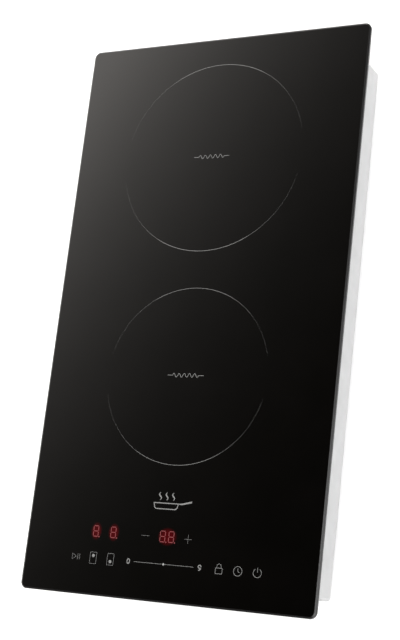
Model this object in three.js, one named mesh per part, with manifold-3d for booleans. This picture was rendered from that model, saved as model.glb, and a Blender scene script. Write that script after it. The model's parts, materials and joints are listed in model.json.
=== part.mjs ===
// A built-in two-zone induction hob: a black glass panel bonded over a folded steel pan.
// Millimetres, +Z up through the glass, +Y to the rear, +X to the user's right.
// The origin is on the plane that the pan's feet stand on, under the middle of the glass.

import * as THREE from "three";
import { mergeVertices } from "three/addons/utils/BufferGeometryUtils.js";
import Module from "manifold-3d";

const wasm = await Module();
wasm.setup();

// ---------------------------------------------------------------- driving dimensions

const GLASS = { width: 288, length: 520, thick: 4, corner: 6, chamfer: 0.75 };
const FOOT_HEIGHT = 5; // the pan's pressed feet
const PAN_DEPTH = 50; // from the pan's underside to the glass
const SHEET = 1; // steel and aluminium sheet
const PAN = { width: 266, front: -243, rear: 236, corner: 3 };
const SEAL = { width: 7, thick: 2, inset: 1.5 };
const FRAME = { gap: 0.5, thick: 1.5, flange: 8, depth: 20 };
const BOND = { thick: 1, width: 5 };

const REAR_ZONE = { name: "rear", y: 143, radius: 82, turns: 6 };
const FRONT_ZONE = { name: "front", y: -61.5, radius: 72, turns: 5 };
const COIL_LEGS = 3; // sprung legs that hold a coil up against the glass
const LITZ = { width: 5.5, innerRadius: 17 };
const SPRING = { radius: 4.2, wire: 0.6, turns: 3.5 };

const FAN = { x: -62, y: 160, size: 80, thick: 20, bore: 38, blades: 7, bladeTilt: 48 };
const TERMINAL = { x: 70, y: 200 };
const EARTH = { x: 26, y: 208 };
const INLET = { x: 70, z: 20 }; // the supply cable's way in, through the rear wall
const LID = { width: 56, length: 42, thick: 2, pivotDrop: 2.5 };
const BOARD = { x0: -100, x1: 100, y0: -130, y1: 90, thick: 1.5, standoff: 6 };
const TOP_OF_PARTS = 30; // nothing on the power board stands higher than this
const HEATSINK = { half: 34, y0: -62, y1: 68, plateBottom: 18, plateTop: 21, fins: 10, fin: 1.5 };
const CONTROL = { x: 104, y0: -231, y1: -190 };
const DISPLAY = { y: -203.5, length: 15, gap: 0.25 };
const SLIDER_Y = -225;

const ROUND = 20; // sides of an ordinary round piece
const SMALL = 10; // sides of a screw or a pin

// ---------------------------------------------------------------- derived levels

const PAN_BOTTOM = FOOT_HEIGHT;
const FLOOR = PAN_BOTTOM + SHEET;
const GLASS_BOTTOM = PAN_BOTTOM + PAN_DEPTH;
const PAN_TOP = GLASS_BOTTOM - 0.5;
const PAN_LENGTH = PAN.rear - PAN.front;
const PAN_MIDDLE = (PAN.rear + PAN.front) / 2;
const FRAME_TOP = GLASS_BOTTOM - BOND.thick;
const FRAME_WIDTH = PAN.width - 2 * (SHEET + FRAME.gap);
const FRAME_LENGTH = PAN_LENGTH - 2 * (SHEET + FRAME.gap);
const FRAME_BOTTOM = FRAME_TOP - FRAME.depth;
const FRAME_SCREW_X = 95;
const FRAME_SCREW_Z = GLASS_BOTTOM - 11;
const PLATE_BOTTOM = 36;
const PLATE_TOP = PLATE_BOTTOM + SHEET;
const MICA = 0.5;
const COIL_TOP = GLASS_BOTTOM - MICA;
const COIL_FLOOR = 48; // underside of the coil former's disc
const FERRITE_DEPTH = 5;
const BOARD_BOTTOM = FLOOR + BOARD.standoff;
const BOARD_TOP = BOARD_BOTTOM + BOARD.thick;
const CONTROL_BOTTOM = 50;
const CONTROL_TOP = CONTROL_BOTTOM + BOARD.thick;

const PLATE = { x: 118, y0: -140, y1: 226, footLength: 14, footWidth: 16 };
const PLATE_FEET = [-120, 200].flatMap((y) => [-1, 1].map((side) => ({ side, y })));
const PAN_FEET = [-222, 222].flatMap((y) => [-1, 1].map((side) => ({ x: side * 113, y })));
const BRACKET_HOLES = [-180, 160].flatMap((y) => [-1, 1].map((side) => ({ x: side * 122, y })));
const FRAME_SCREWS = ["front", "rear"].flatMap((end) =>
  [-1, 1].map((side) => ({ end, side, x: side * FRAME_SCREW_X })),
);

// ---------------------------------------------------------------- materials

const finish = (color, roughness, metalness = 0) => ({ color, roughness, metalness });
const FINISH = {
  glass: finish(0x0a0a09, 0.08),
  pan: finish(0xdcdcdb, 0.5, 0.3),
  aluminium: finish(0xc4c6c8, 0.4, 0.9),
  steel: finish(0xb4b6b8, 0.35, 1),
  foam: finish(0x2a2a2a, 0.95),
  silicone: finish(0x3a3a3a, 0.7),
  blackPlastic: finish(0x1c1c1d, 0.55),
  whitePlastic: finish(0xe6e4dc, 0.5),
  copper: finish(0xa86238, 0.45, 0.7),
  ferrite: finish(0x33343a, 0.6),
  mica: finish(0xb9a98a, 0.6),
  greenBoard: finish(0x1d5a35, 0.5),
  capacitor: finish(0x7c1f1c, 0.4),
  redLens: finish(0x5a0d0c, 0.3),
  ribbon: finish(0xd8d8d4, 0.6),
  wire: finish(0x8f2b22, 0.5),
};

const hob = new THREE.Group();

function add(name, finishName, shape) {
  const geometry = shape.isBufferGeometry ? shape : geometryOf(shape);
  const mesh = new THREE.Mesh(geometry, new THREE.MeshStandardMaterial(FINISH[finishName]));
  mesh.name = name;
  hob.add(mesh);
  return mesh;
}

// ---------------------------------------------------------------- solids

function solidOf(geometry) {
  const bare = (geometry.index ? geometry.toNonIndexed() : geometry.clone())
    .deleteAttribute("normal")
    .deleteAttribute("uv");
  const merged = mergeVertices(bare, 1e-4);
  return new wasm.Manifold(
    new wasm.Mesh({
      numProp: 3,
      vertProperties: merged.attributes.position.array,
      triVerts: new Uint32Array(merged.index.array),
    }),
  );
}

function geometryOf(solid) {
  const mesh = solid.getMesh();
  const positions = new Float32Array(mesh.numVert * 3);
  for (let i = 0; i < mesh.numVert; i++) {
    const start = i * mesh.numProp;
    positions.set(mesh.vertProperties.subarray(start, start + 3), i * 3);
  }
  const geometry = new THREE.BufferGeometry()
    .setAttribute("position", new THREE.BufferAttribute(positions, 3))
    .setIndex(new THREE.BufferAttribute(mesh.triVerts, 1));
  geometry.computeVertexNormals();
  return geometry;
}

const join = (...solids) => solids.flat().reduce((all, next) => all.add(next));
const cut = (solid, ...tools) => solid.subtract(join(...tools));

const inOrder = (a, b) => [Math.min(a, b), Math.max(a, b)];

// A box between two corners.
function box(x0, x1, y0, y1, z0, z1) {
  const geometry = new THREE.BoxGeometry(x1 - x0, y1 - y0, z1 - z0);
  geometry.translate((x0 + x1) / 2, (y0 + y1) / 2, (z0 + z1) / 2);
  return solidOf(geometry);
}

// A box of a given size on a level, about a centre.
function block(x, y, width, length, z0, z1) {
  return box(x - width / 2, x + width / 2, y - length / 2, y + length / 2, z0, z1);
}

// An upright cylinder or cone from z0 to z1.
function cylinder(x, y, z0, z1, radius, sides = ROUND, topRadius = radius) {
  const geometry = new THREE.CylinderGeometry(topRadius, radius, z1 - z0, sides);
  geometry.rotateX(Math.PI / 2);
  geometry.translate(x, y, (z0 + z1) / 2);
  return solidOf(geometry);
}

// A cylinder lying along Y from y0 to y1.
function cylinderAlongY(x, z, y0, y1, radius, sides = ROUND) {
  const geometry = new THREE.CylinderGeometry(radius, radius, y1 - y0, sides);
  geometry.translate(x, (y0 + y1) / 2, z);
  return solidOf(geometry);
}

// A cylinder lying along X from x0 to x1.
function cylinderAlongX(y, z, x0, x1, radius, sides = ROUND) {
  const geometry = new THREE.CylinderGeometry(radius, radius, x1 - x0, sides);
  geometry.rotateZ(Math.PI / 2);
  geometry.translate((x0 + x1) / 2, y, z);
  return solidOf(geometry);
}

// A profile of [radius, height] points, turned about the upright axis at (x, y).
function turned(x, y, profile, sides = ROUND) {
  const points = profile.map(([radius, z]) => new THREE.Vector2(radius, z));
  points.push(points[0].clone());
  const geometry = new THREE.LatheGeometry(points, sides);
  geometry.rotateX(Math.PI / 2);
  geometry.translate(x, y, 0);
  const solid = solidOf(geometry);
  if (solid.volume() < 0) throw new Error("turned(): list the profile the other way round");
  return solid;
}

function roundedRectangle(width, length, radius, x = 0, y = 0) {
  const left = x - width / 2;
  const right = x + width / 2;
  const front = y - length / 2;
  const rear = y + length / 2;
  const shape = new THREE.Shape();
  shape.moveTo(left + radius, front);
  shape.lineTo(right - radius, front);
  shape.absarc(right - radius, front + radius, radius, -Math.PI / 2, 0);
  shape.absarc(right - radius, rear - radius, radius, 0, Math.PI / 2);
  shape.absarc(left + radius, rear - radius, radius, Math.PI / 2, Math.PI);
  shape.absarc(left + radius, front + radius, radius, Math.PI, 1.5 * Math.PI);
  return shape;
}

function extruded(shape, z0, z1, curveSegments = 4) {
  const settings = { depth: z1 - z0, bevelEnabled: false, curveSegments };
  const geometry = new THREE.ExtrudeGeometry(shape, settings);
  geometry.translate(0, 0, z0);
  return solidOf(geometry);
}

// A rectangular ring between two rounded rectangles.
function rectangularRing(width, length, wall, radius, y, z0, z1) {
  const outer = extruded(roundedRectangle(width, length, radius, 0, y), z0, z1);
  const innerRadius = Math.max(radius - wall, 0.5);
  const inner = roundedRectangle(width - 2 * wall, length - 2 * wall, innerRadius, 0, y);
  return cut(outer, extruded(inner, z0 - 1, z1 + 1));
}

// A tube of a given radius along points, with flat ends.
function tubeAlong(points, radius, steps, sides = 8) {
  const curve = new THREE.CatmullRomCurve3(points.map((p) => new THREE.Vector3(...p)));
  const section = new THREE.Shape();
  section.absarc(0, 0, radius, 0, 2 * Math.PI);
  const settings = { extrudePath: curve, steps, curveSegments: sides / 2, bevelEnabled: false };
  return solidOf(new THREE.ExtrudeGeometry(section, settings));
}

// A flat slot with round ends, cut straight through a sheet between z0 and z1.
function slotAlongX(x, y, length, width, z0, z1) {
  return extruded(roundedRectangle(length, width, width / 2 - 0.01, x, y), z0, z1, 1);
}

// ---------------------------------------------------------------- glass, bond and seal

function glassPanel() {
  const { width, length, thick, corner, chamfer } = GLASS;
  const shape = roundedRectangle(width - 2 * chamfer, length - 2 * chamfer, corner - chamfer);
  const geometry = new THREE.ExtrudeGeometry(shape, {
    depth: thick - 2 * chamfer,
    bevelThickness: chamfer,
    bevelSize: chamfer,
    bevelSegments: 1,
    curveSegments: 6,
  });
  geometry.translate(0, 0, GLASS_BOTTOM + chamfer);
  return geometry;
}

function worktopSeal() {
  const width = GLASS.width - 2 * SEAL.inset;
  const length = GLASS.length - 2 * SEAL.inset;
  const bottom = GLASS_BOTTOM - SEAL.thick;
  return rectangularRing(width, length, SEAL.width, GLASS.corner, 0, bottom, GLASS_BOTTOM);
}

function bondBead() {
  const margin = 1.5;
  const width = FRAME_WIDTH - 2 * margin;
  const length = FRAME_LENGTH - 2 * margin;
  return rectangularRing(width, length, BOND.width, 3, PAN_MIDDLE, FRAME_TOP, GLASS_BOTTOM);
}

// An angle-section ring that the glass is bonded to and the pan is screwed to.
function glassFrame() {
  const flange = rectangularRing(
    FRAME_WIDTH, FRAME_LENGTH, FRAME.flange, 2, PAN_MIDDLE, FRAME_TOP - FRAME.thick, FRAME_TOP,
  );
  const leg = rectangularRing(
    FRAME_WIDTH, FRAME_LENGTH, FRAME.thick, 2, PAN_MIDDLE, FRAME_BOTTOM, FRAME_TOP - FRAME.thick / 2,
  );
  return cut(join(flange, leg), frameScrewHoles(1.8));
}

// Holes for the frame screws, straight through from the front wall to the rear.
function frameScrewHoles(radius) {
  return [-1, 1].map((side) =>
    cylinderAlongY(side * FRAME_SCREW_X, FRAME_SCREW_Z, PAN.front - 5, PAN.rear + 5, radius, 8),
  );
}

// ---------------------------------------------------------------- pan

// One ring of curved slots round the fan's centre.
function arcSlots(innerRadius, outerRadius, count, gapDegrees, z0, z1) {
  const sweep = 2 * Math.PI / count;
  const gap = THREE.MathUtils.degToRad(gapDegrees);
  return Array.from({ length: count }, (_, i) => {
    const from = i * sweep + gap / 2;
    const to = (i + 1) * sweep - gap / 2;
    const shape = new THREE.Shape();
    shape.absarc(FAN.x, FAN.y, outerRadius, from, to, false);
    shape.absarc(FAN.x, FAN.y, innerRadius, to, from, true);
    return extruded(shape, z0, z1, 2);
  });
}

function fanGrille(z0, z1) {
  return [
    arcSlots(13, 17.5, 6, 20, z0, z1),
    arcSlots(21, 25.5, 8, 13, z0, z1),
    arcSlots(29, 33.5, 8, 9, z0, z1),
  ].flat();
}

// Two columns of slots under the power board.
function baseSlots(z0, z1) {
  const slots = [];
  for (const x of [-50, 50]) {
    for (let y = -105; y <= 65; y += 17) slots.push(slotAlongX(x, y, 46, 4, z0, z1));
  }
  return slots;
}

// A row of upright slots through the front or the rear wall.
function wallSlots(y, positions) {
  return positions.map((x) => box(x - 2, x + 2, y - 3, y + 3, 14, 34));
}

function frontSlotPositions() {
  return Array.from({ length: 17 }, (_, i) => -80 + 10 * i);
}

function rearSlotPositions() {
  return Array.from({ length: 12 }, (_, i) => -100 + 10 * i);
}

function pressedFoot({ x, y }, inset) {
  return cylinder(x, y, inset, FLOOR + inset, 8 - inset * 0.8, SMALL, 12 - inset * 0.8);
}

// The ears that carry the terminal lid's pivots.
function lidEars() {
  const y = TERMINAL.y - LID.length / 2;
  return [-1, 1].map((side) => {
    const inner = TERMINAL.x + side * (LID.width / 2 + 0.5);
    const outer = inner + side * 1.5;
    const low = PAN_BOTTOM - LID.pivotDrop - 2;
    const ear = box(...inOrder(inner, outer), y - 2, y + 3, low, FLOOR - 0.5);
    const hole = cylinderAlongX(y, PAN_BOTTOM - LID.pivotDrop, inner - 5, inner + 5, 1.2, SMALL);
    return cut(ear, hole);
  });
}

function basePan() {
  const inner = roundedRectangle(
    PAN.width - 2 * SHEET, PAN_LENGTH - 2 * SHEET, PAN.corner - SHEET, 0, PAN_MIDDLE,
  );
  const outer = roundedRectangle(PAN.width, PAN_LENGTH, PAN.corner, 0, PAN_MIDDLE);
  const shell = cut(extruded(outer, PAN_BOTTOM, PAN_TOP), extruded(inner, FLOOR, PAN_TOP + 5));
  const withFeet = join(shell, PAN_FEET.map((foot) => pressedFoot(foot, 0)));
  const hollowFeet = PAN_FEET.map((foot) => pressedFoot(foot, SHEET));
  const plunged = BRACKET_HOLES.map(({ x, y }) =>
    cylinder(x, y, FLOOR - 0.5, FLOOR + 2, 3.6, SMALL),
  );
  const below = PAN_BOTTOM - 1;
  const above = FLOOR + 4;
  const bracketHoles = BRACKET_HOLES.map(({ x, y }) => cylinder(x, y, below, above, 2.1, SMALL));
  const plateHoles = PLATE_FEET.map((foot) => cylinder(footX(foot), foot.y, below, above, 1.9, 8));
  const inlet = cylinderAlongY(INLET.x, INLET.z, PAN.rear - 4, PAN.rear + 4, 8, ROUND);
  const terminalOpening = block(TERMINAL.x, TERMINAL.y, 44, 32, below, above);
  const earthHole = cylinder(EARTH.x, EARTH.y, below, above, 2.1, 8);
  return cut(
    join(cut(withFeet, hollowFeet), plunged, lidEars()),
    bracketHoles, plateHoles, frameScrewHoles(1.9), inlet, terminalOpening, earthHole,
    fanGrille(below, above),
    baseSlots(below, above),
    wallSlots(PAN.front, frontSlotPositions()),
    wallSlots(PAN.rear, rearSlotPositions()),
  );
}

const SCREW = { head: 3.5, height: 1.75, shank: 1.5, slot: 0.8, slotLength: 4 };

// A pan-head screw with its head outside the front or rear wall.
function frameScrew({ end, x }) {
  const outward = end === "front" ? -1 : 1;
  const wall = end === "front" ? PAN.front : PAN.rear;
  const span = (inner, outer) => inOrder(wall + inner * outward, wall + outer * outward);
  const z = FRAME_SCREW_Z;
  const head = cylinderAlongY(x, z, ...span(0, SCREW.height), SCREW.head, SMALL);
  const shank = cylinderAlongY(x, z, ...span(-7, 0.5), SCREW.shank, 8);
  const across = SCREW.slot / 2;
  const along = SCREW.slotLength / 2;
  const slots = [
    box(x - across, x + across, ...span(1, 3), z - along, z + along),
    box(x - along, x + along, ...span(1, 3), z - across, z + across),
  ];
  return cut(join(head, shank), slots);
}

// A pan-head screw driven up through the pan.
function screwFromBelow(x, y, length) {
  const head = cylinder(x, y, PAN_BOTTOM - SCREW.height, PAN_BOTTOM, SCREW.head, SMALL);
  const shank = cylinder(x, y, PAN_BOTTOM - 0.5, PAN_BOTTOM + length, SCREW.shank, 8);
  const low = PAN_BOTTOM - 3;
  const high = PAN_BOTTOM - 1;
  return cut(
    join(head, shank),
    block(x, y, SCREW.slot, SCREW.slotLength, low, high),
    block(x, y, SCREW.slotLength, SCREW.slot, low, high),
  );
}

// ---------------------------------------------------------------- supply terminals

function terminalBlock() {
  const { x, y } = TERMINAL;
  const body = block(x, y, 40, 20, FLOOR + 0.5, 20);
  const ears = block(x, y, 60, 12, FLOOR, FLOOR + 2);
  const poles = [-15, -5, 5, 15];
  const wells = poles.map((dx) => cylinder(x + dx, y - 4, FLOOR - 1, FLOOR + 5, 3, SMALL));
  const mouths = poles.map((dx) => cylinderAlongY(x + dx, 13, y + 2, y + 12, 3, SMALL));
  const barriers = [-20, -10, 0, 10, 19].map((dx) => box(x + dx, x + dx + 1, y - 10, y + 10, 19, 22));
  return cut(join(body, ears, barriers), wells, mouths);
}

function cableGland() {
  const body = cylinderAlongY(INLET.x, INLET.z, PAN.rear - 6, PAN.rear + 1, 7.5);
  const flange = cylinderAlongY(INLET.x, INLET.z, PAN.rear, PAN.rear + 3, 11);
  const bore = cylinderAlongY(INLET.x, INLET.z, PAN.rear - 8, PAN.rear + 5, 5);
  return cut(join(body, flange), bore);
}

function earthScrew() {
  const nut = cylinder(EARTH.x, EARTH.y, FLOOR, FLOOR + 3, 4, 6);
  return join(screwFromBelow(EARTH.x, EARTH.y, 12), nut);
}

// The lid turns down about a line through its front stub pins.
function terminalLid() {
  const { x, y } = TERMINAL;
  const front = y - LID.length / 2;
  const pivotZ = PAN_BOTTOM - LID.pivotDrop;
  const top = PAN_BOTTOM;
  const plate = block(x, y, LID.width, LID.length, top - LID.thick, top);
  const half = LID.width / 2;
  const barrel = cylinderAlongX(front, pivotZ, x - half, x + half, 1.5, SMALL);
  const pins = cylinderAlongX(front, pivotZ, x - half - 1.8, x + half + 1.8, 0.9, SMALL);
  const clearance = box(x - 40, x + 40, front - 3, front, top - 1, top + 1);
  const catchTongue = block(x, y + 14.6, 12, 1.2, top - 0.5, FLOOR + 2.5);
  const ribs = [-1, 1].map((side) => block(x + side * 18, y, 1.5, 26, top - 0.5, FLOOR - 0.5));
  return join(cut(join(plate, barrel, pins), clearance), catchTongue, ribs);
}

// ---------------------------------------------------------------- coils

const footX = ({ side }) => side * (PLATE.x - PLATE.footLength / 2);

function legPlaces(zone) {
  return Array.from({ length: COIL_LEGS }, (_, i) => {
    const angle = Math.PI / 2 + (i * 2 * Math.PI) / COIL_LEGS;
    const radius = zone.radius - 14;
    return { x: radius * Math.cos(angle), y: zone.y + radius * Math.sin(angle) };
  });
}

// Aluminium sheet over the electronics, on four folded legs.
function coilPlate() {
  const sheet = box(-PLATE.x, PLATE.x, PLATE.y0, PLATE.y1, PLATE_BOTTOM, PLATE_TOP);
  const legs = PLATE_FEET.map((foot) => {
    const outer = foot.side * PLATE.x;
    const inner = foot.side * (PLATE.x - SHEET);
    const toe = foot.side * (PLATE.x - PLATE.footLength);
    const y0 = foot.y - PLATE.footWidth / 2;
    const y1 = foot.y + PLATE.footWidth / 2;
    const upright = box(...inOrder(inner, outer), y0, y1, FLOOR, PLATE_BOTTOM + 0.5);
    return join(upright, box(...inOrder(toe, outer), y0, y1, FLOOR, FLOOR + SHEET));
  });
  const footHoles = PLATE_FEET.map((foot) =>
    cylinder(footX(foot), foot.y, FLOOR - 1, FLOOR + 3, 1.7, 8),
  );
  const low = PLATE_BOTTOM - 1;
  const high = PLATE_TOP + 1;
  const zones = [REAR_ZONE, FRONT_ZONE];
  const legHoles = zones.flatMap(legPlaces).map(({ x, y }) => cylinder(x, y, low, high, 3.2, SMALL));
  const sensorHoles = zones.map((zone) => cylinder(0, zone.y, low, high, 12, ROUND));
  const leadHoles = LEADS.map(({ hole }) => cylinder(...hole, low, high, 5, SMALL));
  return cut(join(sheet, legs), footHoles, legHoles, sensorHoles, leadHoles);
}

function coilFormer(zone) {
  const disc = COIL_FLOOR + 1.5;
  const outer = zone.radius;
  const dish = turned(0, zone.y, [
    [10, COIL_FLOOR], [outer, COIL_FLOOR], [outer, COIL_TOP], [outer - 2, COIL_TOP],
    [outer - 2, disc], [12, disc], [12, COIL_TOP], [10, COIL_TOP],
  ], 32);
  const legs = legPlaces(zone).map(({ x, y }) => {
    const shank = cylinder(x, y, PLATE_BOTTOM - 2, COIL_FLOOR + 0.5, 2.4, SMALL);
    const barb = cylinder(x, y, PLATE_BOTTOM - 2, PLATE_BOTTOM - 0.5, 4, SMALL);
    return join(shank, barb);
  });
  return join(dish, legs);
}

// A flat spiral of litz wire, drawn as one outline out along one side and back along the other.
function litzWinding(zone) {
  const start = LITZ.innerRadius;
  const end = zone.radius - 6.5;
  const pitch = (end - start) / zone.turns;
  const stepsPerTurn = 18;
  const steps = zone.turns * stepsPerTurn;
  const at = (i, offset) => {
    const radius = start + (pitch * i) / stepsPerTurn + offset;
    const angle = (2 * Math.PI * i) / stepsPerTurn;
    return new THREE.Vector2(radius * Math.cos(angle), zone.y + radius * Math.sin(angle));
  };
  const outward = Array.from({ length: steps + 1 }, (_, i) => at(i, LITZ.width / 2));
  const back = Array.from({ length: steps + 1 }, (_, i) => at(steps - i, -LITZ.width / 2));
  return extruded(new THREE.Shape([...outward, ...back]), COIL_FLOOR + 2, COIL_TOP - 0.5);
}

// Radial ferrite bars under the former, on a common ring.
function ferriteSpider(zone) {
  const bottom = COIL_FLOOR - FERRITE_DEPTH;
  const hub = turned(0, zone.y, [
    [13, bottom + 2], [22, bottom + 2], [22, COIL_FLOOR], [13, COIL_FLOOR],
  ]);
  const bars = Array.from({ length: 6 }, (_, i) => {
    const length = zone.radius - 26;
    const geometry = new THREE.BoxGeometry(length, 12, FERRITE_DEPTH);
    geometry.translate(length / 2 + 20, 0, COIL_FLOOR - FERRITE_DEPTH / 2);
    geometry.rotateZ((i * Math.PI) / 3);
    geometry.translate(0, zone.y, 0);
    return solidOf(geometry);
  });
  return join(hub, bars);
}

function micaSheet(zone) {
  const hole = 8;
  return turned(0, zone.y, [
    [hole, COIL_TOP], [zone.radius, COIL_TOP], [zone.radius, GLASS_BOTTOM], [hole, GLASS_BOTTOM],
  ], 32);
}

function coilSensor(zone) {
  const cap = cylinder(0, zone.y, COIL_FLOOR - 2, GLASS_BOTTOM, 6, 16);
  const collar = cylinder(0, zone.y, COIL_FLOOR - 2, COIL_FLOOR - 0.5, 11, 16);
  return join(cap, collar);
}

class Helix extends THREE.Curve {
  constructor(x, y, radius, z0, z1, turns) {
    super();
    Object.assign(this, { x, y, radius, z0, z1, turns });
  }

  getPoint(t, target = new THREE.Vector3()) {
    const angle = 2 * Math.PI * this.turns * t;
    return target.set(
      this.x + this.radius * Math.cos(angle),
      this.y + this.radius * Math.sin(angle),
      this.z0 + (this.z1 - this.z0) * t,
    );
  }
}

function coilSpring({ x, y }) {
  const { radius, wire, turns } = SPRING;
  const gap = wire + 0.1;
  const path = new Helix(x, y, radius, PLATE_TOP + gap, COIL_FLOOR - gap, turns);
  const section = new THREE.Shape();
  section.absarc(0, 0, wire, 0, 2 * Math.PI);
  const settings = { extrudePath: path, steps: 20, curveSegments: 3, bevelEnabled: false };
  return new THREE.ExtrudeGeometry(section, settings);
}

// Each coil's two tails, from beside its rim down through the plate to the power board.
const LEADS = [
  {
    zone: REAR_ZONE,
    hole: [92, 108],
    points: [
      [80, 118, 46], [86, 112, 45], [92, 108, 40], [92, 108, 32], [91, 96, 22], [86, 82, 19.5],
    ],
  },
  {
    zone: FRONT_ZONE,
    hole: [-84, -61.5],
    points: [
      [-72.5, -61.5, 40.5], [-78, -61.5, 41.5], [-84, -61.5, 38],
      [-84, -61.5, 30], [-84, -64, 22], [-84, -72, 19.5],
    ],
  },
];

const coilLeads = ({ points }) => tubeAlong(points, 2, 18);

// ---------------------------------------------------------------- power electronics

function boardTray() {
  const margin = 3;
  const wall = 1.5;
  const x0 = BOARD.x0 - margin;
  const x1 = BOARD.x1 + margin;
  const y0 = BOARD.y0 - margin;
  const y1 = BOARD.y1 + margin;
  const tray = box(x0, x1, y0, y1, FLOOR, FLOOR + 4);
  const well = box(x0 + wall, x1 - wall, y0 + wall, y1 - wall, FLOOR + wall, FLOOR + 6);
  const posts = [BOARD.x0 + 6, BOARD.x1 - 6].flatMap((x) =>
    [BOARD.y0 + 6, BOARD.y1 - 6].map((y) => cylinder(x, y, FLOOR + 1, BOARD_BOTTOM, 4, SMALL)),
  );
  const air = [-50, 50].map((x) => box(x - 26, x + 26, -114, 74, FLOOR - 1, FLOOR + 3));
  return join(cut(tray, well, air), posts);
}

function powerBoard() {
  const sheet = box(BOARD.x0, BOARD.x1, BOARD.y0, BOARD.y1, BOARD_BOTTOM, BOARD_TOP);
  const under = BOARD_TOP - 0.5;
  const connectors = [
    block(82, 70, 14, 12, under, 17),
    block(-84, -80, 14, 12, under, 17),
    block(0, -122, 22, 8, under, 17),
    block(60, 78, 20, 10, under, 17),
    block(-40, 84, 10, 6, under, 18),
  ];
  const smallParts = [];
  for (let i = 0; i < 5; i++) {
    smallParts.push(block(-20 + i * 12, -95, 7, 5, under, 15.5));
    smallParts.push(block(-20 + i * 12, -82, 4, 8, under, 17));
  }
  return join(sheet, connectors, smallParts);
}

function heatsink() {
  const { half, y0, y1, plateBottom, plateTop, fins, fin } = HEATSINK;
  const plate = box(-half, half, y0, y1, plateBottom, plateTop);
  const footWidth = 2 * fin;
  const feet = [-half, half - footWidth].map((x) =>
    box(x, x + footWidth, y0, y1, BOARD_TOP, plateBottom + 0.5),
  );
  const pitch = (2 * half - fin) / (fins - 1);
  const blades = Array.from({ length: fins }, (_, i) => {
    const x = -half + i * pitch;
    return box(x, x + fin, y0, y1, plateTop - 1, TOP_OF_PARTS);
  });
  return join(plate, feet, blades);
}

// A box-shaped component that stands on the power board.
function boxedPart(x, y, width, length, height) {
  return block(x, y, width, length, BOARD_TOP, BOARD_TOP + height);
}

// A power semiconductor, lying under the heatsink's plate.
const powerSwitch = (x, y) => boxedPart(x, y, 16, 20, HEATSINK.plateBottom - BOARD_TOP);

function filterChoke() {
  const geometry = new THREE.TorusGeometry(11, 4.5, 8, 20);
  geometry.translate(-68, 52, BOARD_TOP + 4.75);
  return geometry;
}

function fuse() {
  const glass = cylinderAlongY(-70, 18, -48, -24, 2.6, SMALL);
  const clips = [-47, -29].map((y) => box(-73.5, -66.5, y, y + 4, BOARD_TOP, 20));
  return join(glass, clips);
}

// ---------------------------------------------------------------- fan

function fanHousing() {
  const { x, y, size, thick, bore } = FAN;
  const top = FLOOR + thick;
  const hole = size / 2 - 4.5;
  const body = extruded(roundedRectangle(size, size, 5, x, y), FLOOR, top);
  const duct = cylinder(x, y, FLOOR - 1, top + 1, bore, 28);
  const hub = cylinder(x, y, top - 2, top, 15, ROUND);
  const arms = [0, 1].map((i) => {
    const geometry = new THREE.BoxGeometry(2 * bore + 2, 5, 2);
    geometry.rotateZ(Math.PI / 4 + (i * Math.PI) / 2);
    geometry.translate(x, y, top - 1);
    return solidOf(geometry);
  });
  const corners = [-1, 1].flatMap((sx) =>
    [-1, 1].map((sy) => cylinder(x + sx * hole, y + sy * hole, FLOOR - 1, top + 1, 2.2, 8)),
  );
  return join(cut(body, duct, corners), hub, arms);
}

function fanMotor() {
  const top = FLOOR + FAN.thick - 2;
  return turned(FAN.x, FAN.y, [[2, top - 10], [10.5, top - 10], [10.5, top], [2, top]]);
}

// A cupped hub over the motor, with its shaft and its pitched blades.
function fanImpeller() {
  const { x, y } = FAN;
  const low = FLOOR + 3;
  const high = FLOOR + FAN.thick - 3.5;
  const floor = low + 2;
  const cup = turned(x, y, [
    [1, floor], [1, low], [14.5, low], [14.5, high], [12.5, high], [12.5, floor],
  ]);
  const boss = cylinder(x, y, low, low + 12, 1.6, 10);
  const reach = 22.5;
  const blades = Array.from({ length: FAN.blades }, (_, i) => {
    const geometry = new THREE.BoxGeometry(reach, 1.4, 14);
    geometry.rotateX(THREE.MathUtils.degToRad(FAN.bladeTilt));
    geometry.translate(14 + reach / 2, 0, (low + high) / 2);
    geometry.rotateZ((i * 2 * Math.PI) / FAN.blades);
    geometry.translate(x, y, 0);
    return solidOf(geometry);
  });
  return join(cup, boss, blades);
}

// ---------------------------------------------------------------- controls

function controlTray() {
  const { x, y0, y1 } = CONTROL;
  const bottom = CONTROL_BOTTOM - 6;
  const outer = box(-x - 3, x + 3, y0 - 2, y1 + 2, bottom, CONTROL_TOP);
  const well = box(-x - 1.5, x + 1.5, y0 - 0.5, y1 + 0.5, bottom + 1.5, CONTROL_TOP + 1);
  const shelf = [-1, 1].map((side) =>
    block(side * (x - 1), (y0 + y1) / 2, 4, 20, bottom + 1, CONTROL_BOTTOM),
  );
  const notch = box(-10, 10, y1 - 1, y1 + 4, bottom + 2.5, CONTROL_TOP + 1);
  const posts = [-85, 85].flatMap((px) =>
    [y0 + 5, y1 - 5].map((py) => block(px, py, 8, 8, FLOOR, bottom + 0.5)),
  );
  return join(cut(outer, well, notch), shelf, posts);
}

function controlBoard() {
  const { x, y0, y1 } = CONTROL;
  const sheet = box(-x, x, y0, y1, CONTROL_BOTTOM, CONTROL_TOP);
  const processor = block(-20, -212, 12, 12, CONTROL_BOTTOM - 2, CONTROL_BOTTOM + 0.5);
  const socket = block(0, y1 - 7, 18, 6, CONTROL_BOTTOM - 3.5, CONTROL_BOTTOM + 0.5);
  return join(sheet, processor, socket);
}

// A seven-bar display, close under the glass.
function display(x, width) {
  return block(x, DISPLAY.y, width, DISPLAY.length, CONTROL_TOP, GLASS_BOTTOM - DISPLAY.gap);
}

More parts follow.
